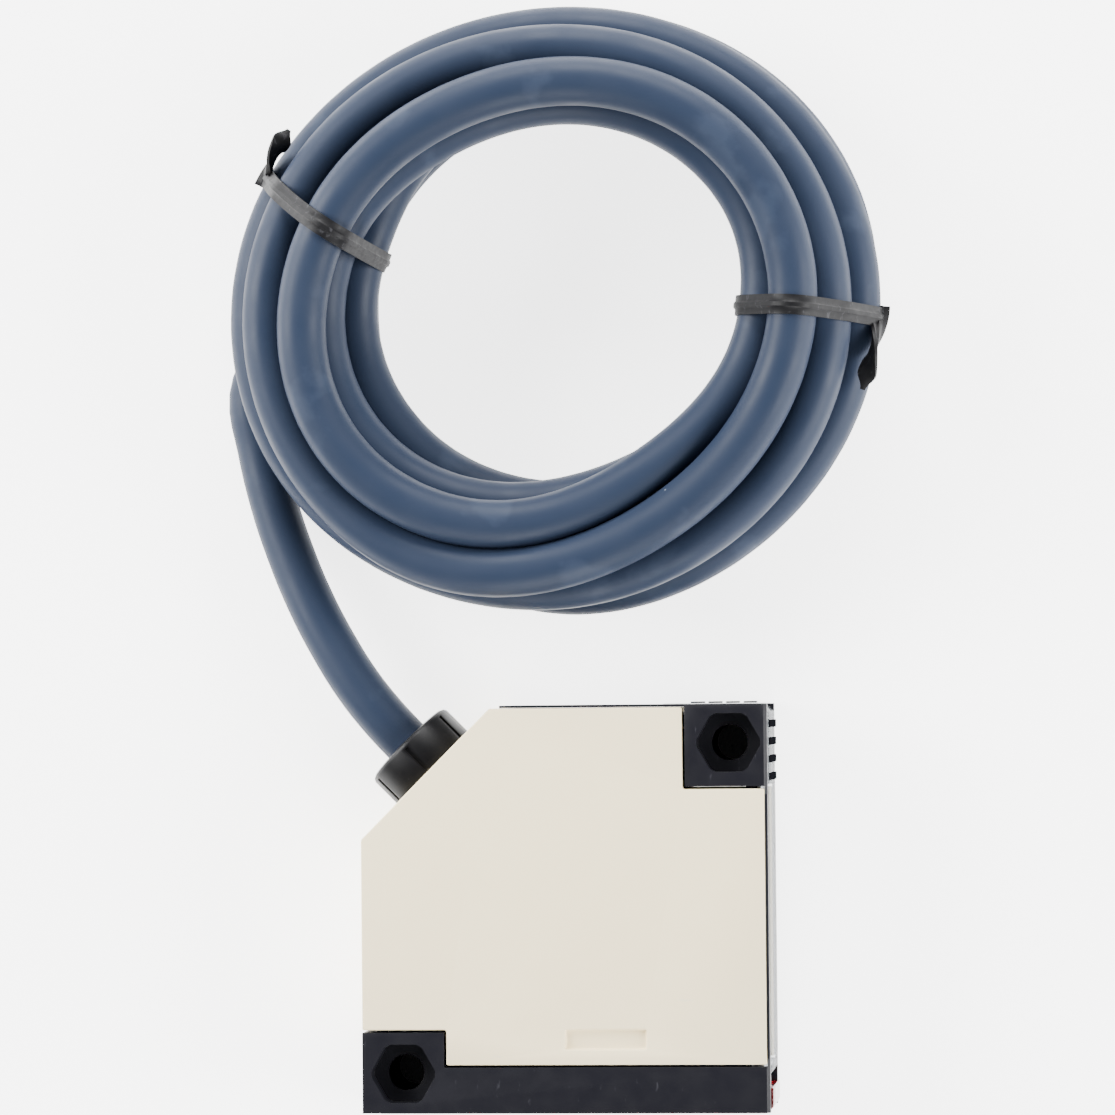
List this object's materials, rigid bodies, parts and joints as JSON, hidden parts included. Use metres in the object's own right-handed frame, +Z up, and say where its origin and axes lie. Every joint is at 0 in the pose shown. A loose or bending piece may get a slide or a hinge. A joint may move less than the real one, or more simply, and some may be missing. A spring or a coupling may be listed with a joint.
{
  "type": "photoelectric sensor",
  "caption": "Square photoelectric sensor with a red front lens, a hinged clear cover over its adjuster and selector, corner mounting holes, and a coiled cable from a diagonal gland.",
  "frame": {"origin": "middle of the underside of the square body, on the surface it lies on", "axes": "+X towards the operation panel under the clear cover, -Y towards the red front lens, +Z up through the thickness of the body"},
  "size_m": [0.0841, 0.1395, 0.0221],
  "materials": {
    "black_plastic": "satin moulded",
    "ivory_plastic": "fine texture",
    "red_lens": "polished",
    "black_rubber": "matt",
    "holder_plastic": "matt",
    "clear_acrylic": "polished",
    "led_red": "gloss",
    "dark_epoxy": "semi-gloss",
    "tinned_steel": "tinned",
    "circuit_board": "solder mask",
    "relay_case": "satin",
    "ferrite": "matt",
    "capacitor_sleeve": "gloss",
    "absorber_blue": "dipped",
    "brass_pins": "plated",
    "core_insulation": "satin",
    "control_blue": "satin",
    "knob_dark": "satin",
    "knob_pale": "satin",
    "led_green": "gloss",
    "led_orange": "gloss",
    "label_silver": "satin anodised",
    "clear_cover": "polished",
    "rib_black": "matt",
    "plain_steel": "bright zinc",
    "gland_plastic": "satin",
    "cable_jacket": "matt PVC",
    "tie_black": "satin"
  },
  "bodies": {
    "root": {"chassis": "black_plastic", "side_cover_upper": "ivory_plastic", "side_cover_lower": "ivory_plastic", "front_lens": "red_lens", "lens_seal": "black_rubber", "lens_holder": "holder_plastic", "emitter_lens": "clear_acrylic", "receiver_lens": "clear_acrylic", "emitter_led": "led_red", "receiver_photodiode": "dark_epoxy", "receiver_shield": "tinned_steel", "optics_board": "circuit_board", "main_board": "circuit_board", "relay": "relay_case", "transformer": "ferrite", "smoothing_capacitor": "capacitor_sleeve", "surge_absorber": "absorber_blue", "control_chip": "dark_epoxy", "wire_terminals": "brass_pins", "inner_cores": "core_insulation", "panel_board": "circuit_board", "panel_seal": "black_rubber", "adjuster_body": "control_blue", "selector_body": "relay_case", "stability_led": "led_green", "operation_led": "led_orange", "light_guides": "clear_acrylic", "panel_label": "label_silver", "hinge_pin": "plain_steel", "board_screws": "plain_steel", "gland_body": "gland_plastic", "gland_seal": "black_rubber", "gland_nut": "gland_plastic", "cable_clamp": "tinned_steel", "cable_lead": "cable_jacket", "cable_coil": "cable_jacket", "core_ends": "core_insulation", "tie_left": "tie_black", "tie_right": "tie_black"},
    "cover": {"clear_cover": "clear_cover", "grip_ribs": "rib_black"},
    "adjuster": {"adjuster_knob": "knob_dark"},
    "selector": {"selector_knob": "knob_pale"}
  },
  "joints": [
    {"name": "cover_hinge", "type": "hinge", "parent": "root", "child": "cover", "pos_m": [0.0237, -0.01965, 0.0087], "axis": [0, 0, -1], "range_deg": [0, 100]},
    {"name": "adjuster_turn", "type": "hinge", "parent": "root", "child": "adjuster", "pos_m": [0.023, 0.0065, 0.0087], "axis": [1, 0, 0], "range_deg": [-130, 130]},
    {"name": "selector_turn", "type": "hinge", "parent": "root", "child": "selector", "pos_m": [0.023, -0.0035, 0.0087], "axis": [1, 0, 0], "range_deg": [0, 90]}
  ]
}
